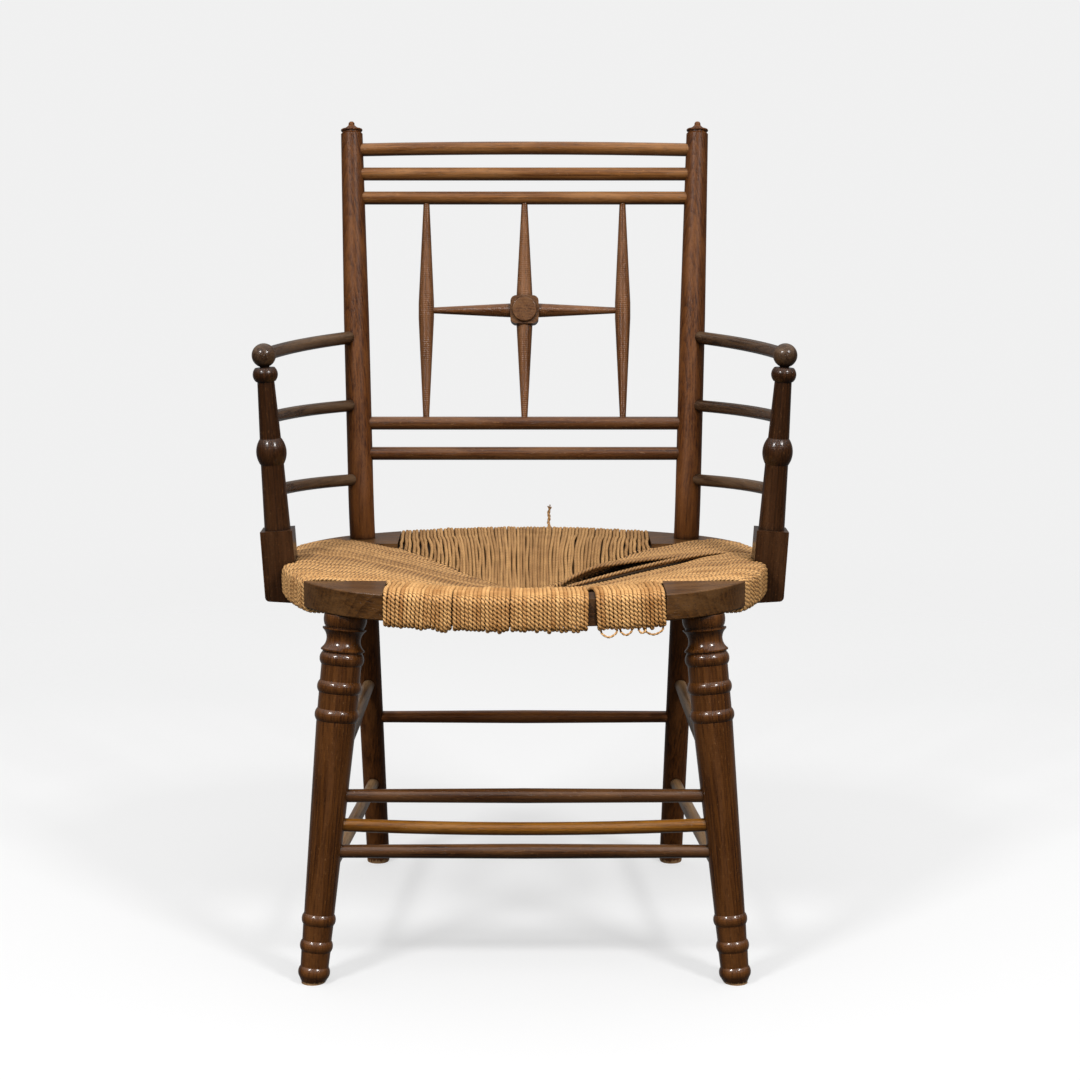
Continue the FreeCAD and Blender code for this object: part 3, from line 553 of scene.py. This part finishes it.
def side_cord(y, sign):
    """One cord that goes over a side rail at y, or starts against the arm post's block. On the right a
    worn slot is open between the sagging cords and a few that are still taut."""
    edge = np.interp(y, outer_y, outer_x)
    before, after = np.interp([y - 1, y + 1], outer_y, outer_x)
    slope = math.cos(math.atan((after - before) / 2))
    swell = side_swell * min(1.0, max(0.0, (y - swell_from) / swell_over))
    lift = max(0.0, chance.gauss(*side_lift))
    bow = chance.gauss(0, side_bow)
    taut = slack = 0.0
    if sign > 0:
        if y > taut_span[0]:
            taut = min(taut_most, max(0.0, (taut_span[1] - y) / taut_fade))
        slack = slot_slack * math.exp(-(((y - slot_span[0]) / slot_fade) ** 2)) * (1 - taut)
    over = []
    for depth, z in rail_turn:
        upper = z > rail_middle
        bulge = swell * math.exp(-((depth - swell_depth) / swell_fade) ** 2)
        over.append((sign * (edge - depth / slope), y, z + lift * upper + bulge * upper))
    if arm_block_span[0] < y < arm_block_span[1]:
        clear = arm_block_face - arm_block_clear
        over = [point for point in over if abs(point[0]) < clear and point[2] > rail_middle]
        over = [(sign * arm_block_face, y, arm_block_cord)] + over
    start = over[-1]
    end_x = mitre_between(rear_mitre if y > rear_mitre[1][1] else front_mitre, y, 1)
    end = (sign * end_x, y * side_gather - side_shift)

    def puffed(a, b):
        out = (abs(a) - end_x) / (abs(start[0]) - end_x)
        inward = (abs(start[0]) - abs(a)) / swell_reach - swell_start
        hollow = top_height(a, b) + lift + swell * math.exp(-(inward ** 2))
        hollow -= slack * math.sin(math.pi * out)
        stretched = start[2] + (top_height(*end) + taut_rise - start[2]) * (1 - out)
        stretched += taut_arch * math.sin(math.pi * out)
        return hollow + (stretched - hollow) * taut * min(1, max(0, out) * taut_ease)

    over += run_in(start[:2], end, puffed, over_steps, bow, chance.gauss(0, side_ripple))
    name = "left" if sign < 0 else "right"
    if sign < 0 or not slot_span[0] < y < slot_span[1]:
        thickness = side_thickness + chance.gauss(0, side_spread)
        lay_cord("rush_%s_over" % name, dive(over, dive_depth), thickness)
    foot_depth, foot_z = rail_turn[0]
    inner = (sign * (edge - rim_depth / slope), y)
    under = [(sign * (edge - foot_depth / slope), y, foot_z), (*inner, foot_height)]
    under += run_in(inner, end, under_height, under_steps)
    lay_cord("rush_%s_under" % name, dive(under, -dive_depth))


for name, fan in cross_fans.items():
    for x in np.linspace(-fan["reach"], fan["reach"], fan["cords"]):
        if name == "back" or abs(x - bare_gap) > bare_half:
            cross_cord(name, x + chance.gauss(0, fan["jitter"]))
for sign in (-1, 1):
    for y in np.linspace(*side_reach, side_cords):
        side_cord(y + chance.gauss(0, side_jitter), sign)


def cord_tree():
    """Twists a two-ply cord along each path. The section is a circle drawn in to a waist between the
    plies, turned as it goes."""
    waist_width = 0.56
    tree = bpy.data.node_groups.new("twisted rush cord", "GeometryNodeTree")
    sockets = (
        ("Paths", "INPUT", "NodeSocketGeometry"), ("Cord radius", "INPUT", "NodeSocketFloat"),
        ("Length of one twist", "INPUT", "NodeSocketFloat"), ("Step", "INPUT", "NodeSocketFloat"),
        ("Points round", "INPUT", "NodeSocketInt"), ("Material", "INPUT", "NodeSocketMaterial"),
        ("Cords", "OUTPUT", "NodeSocketGeometry"),
    )
    for name, way, kind in sockets:
        tree.interface.new_socket(name, in_out=way, socket_type=kind)
    given = add(tree, "NodeGroupInput").outputs

    path = add(tree, "GeometryNodeMeshToCurve", {"Mesh": given["Paths"]}).outputs[0]
    smooth = {"Curve": path}
    path = add(tree, "GeometryNodeCurveSplineType", smooth, spline_type="CATMULL_ROM").outputs[0]
    divided = {"Curve": path, "Length": given["Step"]}
    path = add(tree, "GeometryNodeResampleCurve", divided, mode="LENGTH").outputs[0]
    length = add(tree, "GeometryNodeSplineParameter").outputs["Length"]
    turns = {0: length, 1: given["Length of one twist"]}
    turns = add(tree, "ShaderNodeMath", turns, operation="DIVIDE").outputs[0]
    first = {"Name": "first_angle"}
    first = add(tree, "GeometryNodeInputNamedAttribute", first).outputs["Attribute"]
    angle = {0: turns, 1: math.tau, 2: first}
    angle = add(tree, "ShaderNodeMath", angle, operation="MULTIPLY_ADD").outputs[0]
    path = add(tree, "GeometryNodeSetCurveTilt", {"Curve": path, "Tilt": angle}).outputs[0]

    ring = {"Resolution": given["Points round"], "Radius": 1.0}
    ring = add(tree, "GeometryNodeCurvePrimitiveCircle", ring).outputs[0]
    spot = add(tree, "GeometryNodeInputPosition").outputs[0]
    across = add(tree, "ShaderNodeSeparateXYZ", {0: spot}).outputs["Y"]
    across = add(tree, "ShaderNodeMath", {0: across}, operation="ABSOLUTE").outputs[0]
    ring = {"Geometry": ring, "Name": "ply", "Value": across}
    ring = add(tree, "GeometryNodeStoreNamedAttribute", ring).outputs[0]
    waist = {0: across, 1: 1 - waist_width, 2: waist_width}
    waist = add(tree, "ShaderNodeMath", waist, operation="MULTIPLY_ADD").outputs[0]
    spot = {0: spot, "Scale": waist}
    spot = add(tree, "ShaderNodeVectorMath", spot, operation="SCALE").outputs[0]
    ring = add(tree, "GeometryNodeSetPosition", {"Geometry": ring, "Position": spot}).outputs[0]

    girth = {"Name": "thickness"}
    girth = add(tree, "GeometryNodeInputNamedAttribute", girth).outputs["Attribute"]
    girth = {0: girth, 1: given["Cord radius"]}
    girth = add(tree, "ShaderNodeMath", girth, operation="MULTIPLY").outputs[0]
    cords = {"Curve": path, "Profile Curve": ring, "Scale": girth, "Fill Caps": True}
    cords = add(tree, "GeometryNodeCurveToMesh", cords).outputs[0]
    cords = add(tree, "GeometryNodeRealizeInstances", {"Geometry": cords}).outputs[0]
    cords = {"Geometry": cords, "Material": given["Material"]}
    cords = add(tree, "GeometryNodeSetMaterial", cords).outputs[0]
    add(tree, "NodeGroupOutput", {"Cords": cords})
    return tree


def rush_straw():
    """Twisted dried rush: golden on the front, greyed by dust where it is sat on, each cord its own
    tone, mottled in spots 16 mm wide, with fibres drawn 1.2 mm wide so that they show. The groove
    between its two plies and the gaps between cords are darkened as painted shade."""
    fibre_width, mottle_width, fibre_depth, shut_reach = 1.2, 16, 0.4, 5
    tone_share, fibre_share = 0.6, 0.6
    dusty_from, golden_from = -20, -200
    material = bpy.data.materials.new("rush_twisted_dried")
    material.use_nodes = True
    tree = material.node_tree
    shader = tree.nodes["Principled BSDF"]
    place = add(tree, "ShaderNodeTexCoord").outputs["Object"]
    tone = add(tree, "ShaderNodeAttribute", attribute_name="tone").outputs["Fac"]
    ply = add(tree, "ShaderNodeAttribute", attribute_name="ply").outputs["Fac"]

    fibre = {"Vector": place, "Scale": 1 / (fibre_width * MM), "Detail": 3, "Roughness": 0.7}
    fibre = add(tree, "ShaderNodeTexNoise", fibre).outputs["Fac"]
    mottle = {"Vector": place, "Scale": 1 / (mottle_width * MM), "Detail": 2}
    mottle = add(tree, "ShaderNodeTexNoise", mottle).outputs["Fac"]
    blend = {0: tone, 1: tone_share, 2: mottle}
    blend = add(tree, "ShaderNodeMath", blend, operation="MULTIPLY_ADD").outputs[0]
    blend = {0: fibre, 1: fibre_share, 2: blend}
    blend = add(tree, "ShaderNodeMath", blend, operation="MULTIPLY_ADD").outputs[0]
    blend = {"Value": blend, "From Min": 0.6, "From Max": 1.5}
    blend = add(tree, "ShaderNodeMapRange", blend).outputs[0]
    dusty = {0: blend, 6: linear("#946a3c"), 7: linear("#c99a62")}
    dusty = add(tree, "ShaderNodeMix", dusty, data_type="RGBA").outputs[2]
    golden = {0: blend, 6: linear("#b67b3d"), 7: linear("#f4be7a")}
    golden = add(tree, "ShaderNodeMix", golden, data_type="RGBA").outputs[2]
    frontness = add(tree, "ShaderNodeSeparateXYZ", {"Vector": place}).outputs["Y"]
    frontness = {"Value": frontness, "From Min": dusty_from * MM, "From Max": golden_from * MM}
    frontness = add(tree, "ShaderNodeMapRange", frontness).outputs[0]
    straw = {0: frontness, 6: dusty, 7: golden}
    straw = add(tree, "ShaderNodeMix", straw, data_type="RGBA").outputs[2]

    # painted shade: the waist between the two plies and the gaps between cords are darkened towards
    # dark brown
    groove = {"Value": ply, "From Max": 0.75, "To Min": 0.2}
    groove = add(tree, "ShaderNodeMapRange", groove).outputs[0]
    cord_gap_shade = {"Distance": shut_reach * MM}
    cord_gap_shade = add(tree, "ShaderNodeAmbientOcclusion", cord_gap_shade, samples=6).outputs["AO"]
    cord_gap_shade = {"Value": cord_gap_shade, "From Min": 0.15, "From Max": 0.75, "To Min": 0.3}
    cord_gap_shade = add(tree, "ShaderNodeMapRange", cord_gap_shade).outputs[0]
    shade = add(tree, "ShaderNodeMath", {0: groove, 1: cord_gap_shade}, operation="MULTIPLY").outputs[0]
    straw = {0: shade, 6: linear("#2e1a0a"), 7: straw}
    straw = add(tree, "ShaderNodeMix", straw, data_type="RGBA").outputs[2]
    tree.links.new(straw, shader.inputs["Base Color"])

    relief = {"Height": fibre, "Strength": 0.5, "Distance": fibre_depth * MM}
    relief = add(tree, "ShaderNodeBump", relief).outputs[0]
    tree.links.new(relief, shader.inputs["Normal"])
    shader.inputs["Roughness"].default_value = 0.62
    shader.inputs["IOR"].default_value = 1.45
    return material


def wound_piece(name, mesh):
    """Puts a finished mesh in place of the plain rush seat."""
    piece = bpy.data.objects.new(name, mesh)
    bpy.context.collection.objects.link(piece)
    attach(piece, "root")
    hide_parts("rush_seat")


cord_nodes = cord_tree()
rush_material = rush_straw()
cord_radius, cord_points, twist_length = 2.2, 6, -8.5
over_step, under_step = 1.05, 1.5


def wind_cords(name, step):
    """Makes one fan of cords from their paths."""
    mesh = bpy.data.meshes.new(name + "_paths")
    places, edges, tones, angles, thicknesses = [], [], [], [], []
    for points, tone, angle, thickness in fans[name]:
        first = len(places)
        places += [Vector(point) * MM for point in points]
        edges += [(first + i, first + i + 1) for i in range(len(points) - 1)]
        tones += [tone] * len(points)
        angles += [angle] * len(points)
        thicknesses += [thickness] * len(points)
    mesh.from_pydata(places, edges, [])
    for label, values in (("tone", tones), ("first_angle", angles), ("thickness", thicknesses)):
        mesh.attributes.new(label, "FLOAT", "POINT").data.foreach_set("value", values)
    paths = bpy.data.objects.new(name + "_paths", mesh)
    bpy.context.collection.objects.link(paths)
    modifier = paths.modifiers.new("cords", "NODES")
    modifier.node_group = cord_nodes
    sizes = {
        "Cord radius": cord_radius * MM, "Length of one twist": twist_length * MM,
        "Step": step * MM, "Points round": cord_points, "Material": rush_material,
    }
    for item in cord_nodes.interface.items_tree:
        if item.name in sizes:
            modifier[item.identifier] = sizes[item.name]
    evaluated = paths.evaluated_get(bpy.context.evaluated_depsgraph_get())
    wound = bpy.data.meshes.new_from_object(evaluated)
    wound.name = name
    wound.shade_smooth()
    bpy.data.objects.remove(paths)
    wound_piece(name, wound)


for name in fans:
    wind_cords(name, under_step if name.endswith("under") else over_step)


# Loose rush: worn cord of the same rush that has come free of the winding. A slack pair lies in the
# slot, thin loops hang under the front rail, and one frayed end stands up behind the back rail.

slack_pair = (
    [(238, 17, 400.4), (225, 17, 401), (205, 16, 403), (160, 14, 396), (100, 11, 382), (48, 7, 368)],
    [(238, 21, 400.4), (225, 21, 401), (205, 20.5, 402), (150, 19, 391), (90, 15, 378), (44, 9, 366)],
)
for cord in slack_pair:
    lay_cord("rush_loose", cord)

hanging_loops = ((75, 91, 6.5), (94, 106, 5), (112, 120, 4), (118, 137, 6.5))
hanging_thickness, hanging_height = 0.58, 366
for start_x, end_x, drop in hanging_loops:
    front_y = np.interp(end_x, outer_x[:widest], outer_y[:widest])
    hanging = [
        (start_x, front_y + 12, hanging_height + 1),
        (start_x + 1, front_y + 3, hanging_height - drop * 0.5),
        ((start_x + end_x) / 2, front_y + 1, hanging_height - drop),
        (end_x - 1, front_y + 3, hanging_height - drop * 0.4),
        (end_x, front_y + 12, hanging_height + 1),
    ]
    lay_cord("rush_loose", hanging, hanging_thickness)

frayed_thickness, strand_thickness = 0.9, 0.42
frayed = [
    (28, 192, 401), (28.4, 200, 403), (27.6, 204, 407), (28.6, 205, 412), (27.8, 205.5, 417),
    (28.8, 206, 421),
]
lay_cord("rush_loose", frayed, frayed_thickness)
for aside, up in ((-1.8, 4.5), (0.6, 6), (2.2, 3.5)):
    strand = [(28, 205.6, 417), (28.8, 206, 420.5), (28.8 + aside, 206.4, 421 + up)]
    lay_cord("rush_loose", strand, strand_thickness)
wind_cords("rush_loose", over_step)


# Stuffing: waste rush packed by hand between the two layers of cord, which hold it. Dull broken straw
# in lengths of about 12 mm, coloured very dark as painted shade, so that the gaps between cords look
# shaded.

stuffing_rows, stuffing_spokes, stuffing_clear = 12, 64, 3.6
edge_tuck = 0.4
stuffing_points = []
for layer, way in ((top_height, -1), (under_height, 1)):
    for row in range(stuffing_rows, 0, -1):
        for spoke in range(stuffing_spokes):
            angle = math.tau * spoke / stuffing_spokes
            reach = np.interp(math.pi - abs(angle - math.pi), inner_angle, inner_reach)
            reach *= (row - edge_tuck * (row == stuffing_rows)) / stuffing_rows
            x, y = reach * math.sin(angle), seat_middle - reach * math.cos(angle)
            stuffing_points.append((x * MM, y * MM, (layer(x, y) + way * stuffing_clear) * MM))
stuffing_faces = []
per_layer = stuffing_rows * stuffing_spokes
for layer in (0, 1):
    for row in range(stuffing_rows - 1):
        for spoke in range(stuffing_spokes):
            after = (spoke + 1) % stuffing_spokes
            outer = layer * per_layer + row * stuffing_spokes
            inner = outer + stuffing_spokes
            face = (outer + spoke, outer + after, inner + after, inner + spoke)
            stuffing_faces.append(face if layer == 0 else face[::-1])
    last_row = layer * per_layer + (stuffing_rows - 1) * stuffing_spokes
    middle = tuple(range(last_row, last_row + stuffing_spokes))
    stuffing_faces.append(middle if layer == 0 else middle[::-1])
for spoke in range(stuffing_spokes):
    after = (spoke + 1) % stuffing_spokes
    stuffing_faces.append((after, spoke, per_layer + spoke, per_layer + after))
stuffing = bpy.data.meshes.new("rush_stuffing")
stuffing.from_pydata(stuffing_points, [], stuffing_faces)
stuffing.shade_smooth()

straw_length, straw_width = 12.5, 2.5
waste_rush = bpy.data.materials.new("rush_waste_painted_dark")
waste_rush.use_nodes = True
waste_tree = waste_rush.node_tree
waste_shader = waste_tree.nodes["Principled BSDF"]
waste = add(waste_tree, "ShaderNodeTexCoord").outputs["Object"]
straws = (1 / (straw_length * MM), 1 / (straw_width * MM), 1 / (straw_width * MM))
waste = add(waste_tree, "ShaderNodeMapping", {"Vector": waste, "Scale": straws}).outputs[0]
waste = {"Vector": waste, "Scale": 1, "Detail": 3}
waste = add(waste_tree, "ShaderNodeTexNoise", waste).outputs["Fac"]
# painted shade: the straw is coloured near black, standing for the shade inside the gaps
waste = {0: waste, 6: linear("#24160a"), 7: linear("#4e3820")}
waste = add(waste_tree, "ShaderNodeMix", waste, data_type="RGBA").outputs[2]
waste_tree.links.new(waste, waste_shader.inputs["Base Color"])
waste_shader.inputs["Roughness"].default_value = 0.85
stuffing.materials.append(waste_rush)
wound_piece("rush_stuffing", stuffing)


# Studio: a plain floor in matt pale paint, which has no shine and whose faint glow keeps shadows soft,
# fading into white surroundings. Light comes from a white ceiling, two softboxes and a fill in front.
# The camera stands at the height of the back's top, looking a little down. Sizes are in metres.

floor_half, fade_start, fade_end = 4, 1.0, 2.6
floor_corners = [(x * floor_half, y * floor_half, 0) for x, y in ((-1, -1), (1, -1), (1, 1), (-1, 1))]
floor_mesh = bpy.data.meshes.new("floor")
floor_mesh.from_pydata(floor_corners, [], [(0, 1, 2, 3)])
floor = bpy.data.objects.new("floor", floor_mesh)
bpy.context.collection.objects.link(floor)
floor.visible_diffuse = False
floor.visible_glossy = False
floor_paint = bpy.data.materials.new("paint_matt_pale")
floor_paint.use_nodes = True
floor_tree = floor_paint.node_tree
paint = floor_tree.nodes["Principled BSDF"]
paint.inputs["Base Color"].default_value = linear("#a0a0a0")
paint.inputs["Roughness"].default_value = 0.9
paint.inputs["Emission Color"].default_value = linear("#ffffff")
paint.inputs["Emission Strength"].default_value = 0.52
fade = add(floor_tree, "ShaderNodeTexCoord").outputs["Object"]
fade = add(floor_tree, "ShaderNodeVectorMath", {0: fade}, operation="LENGTH").outputs["Value"]
fade = {"Value": fade, "From Min": fade_start, "From Max": fade_end}
fade = add(floor_tree, "ShaderNodeMapRange", fade, interpolation_type="SMOOTHSTEP").outputs[0]
clear = add(floor_tree, "ShaderNodeBsdfTransparent").outputs[0]
faded = {0: fade, 1: paint.outputs[0], 2: clear}
faded = add(floor_tree, "ShaderNodeMixShader", faded).outputs[0]
floor_tree.links.new(faded, floor_tree.nodes["Material Output"].inputs["Surface"])
floor_mesh.materials.append(floor_paint)

seen_glow = 0.875
world = bpy.data.worlds.new("white surroundings")
bpy.context.scene.world = world
world.use_nodes = True
room = world.node_tree
toward = add(room, "ShaderNodeTexCoord").outputs["Generated"]
toward = add(room, "ShaderNodeSeparateXYZ", {0: toward}).outputs
ceiling = {"Value": toward["Z"], "From Min": 0.2, "From Max": 0.8, "To Min": 0.05, "To Max": 0.9}
ceiling = add(room, "ShaderNodeMapRange", ceiling).outputs[0]
backdrop = {"Value": toward["Y"], "From Min": 0.1, "From Max": 0.9, "To Max": 0.2}
backdrop = add(room, "ShaderNodeMapRange", backdrop).outputs[0]
walls = add(room, "ShaderNodeMath", {0: ceiling, 1: backdrop}, operation="MAXIMUM").outputs[0]
seen = add(room, "ShaderNodeLightPath").outputs["Is Camera Ray"]
glow = {0: seen, 2: walls, 3: seen_glow}
glow = add(room, "ShaderNodeMix", glow, data_type="FLOAT").outputs[0]
room.links.new(glow, room.nodes["Background"].inputs["Strength"])
room.nodes["Background"].inputs["Color"].default_value = linear("#ffffff")

lamps = (
    ("softbox_left", (-1.7, -2.1, 2.7), 0.6, 64),
    ("softbox_right", (1.7, -2.1, 2.7), 0.6, 64),
    ("front_fill", (0, -3.1, 0.7), 1.8, 15),
)
lit_point = Vector((0, 0, 0.45))
for name, place, size, power in lamps:
    softbox = bpy.data.lights.new(name, "AREA")
    softbox.size = size
    softbox.energy = power
    lamp = bpy.data.objects.new(name, softbox)
    lamp.location = place
    lamp.visible_glossy = name != "front_fill"
    lamp.rotation_euler = (lit_point - Vector(place)).to_track_quat("-Z", "Y").to_euler()
    bpy.context.collection.objects.link(lamp)

look_down = 9.4
image_width, image_shift = 1080, 15.5
camera = bpy.data.cameras.new("camera")
camera.sensor_width = 36
camera.lens = 79.13
camera.shift_x = image_shift / image_width
view = bpy.data.objects.new("camera", camera)
view.location = (0, -2.5022, 0.8341)
view.rotation_euler = (math.radians(90 - look_down), 0, 0)
bpy.context.collection.objects.link(view)
bpy.context.scene.camera = view
bpy.context.scene.view_settings.view_transform = "Standard"
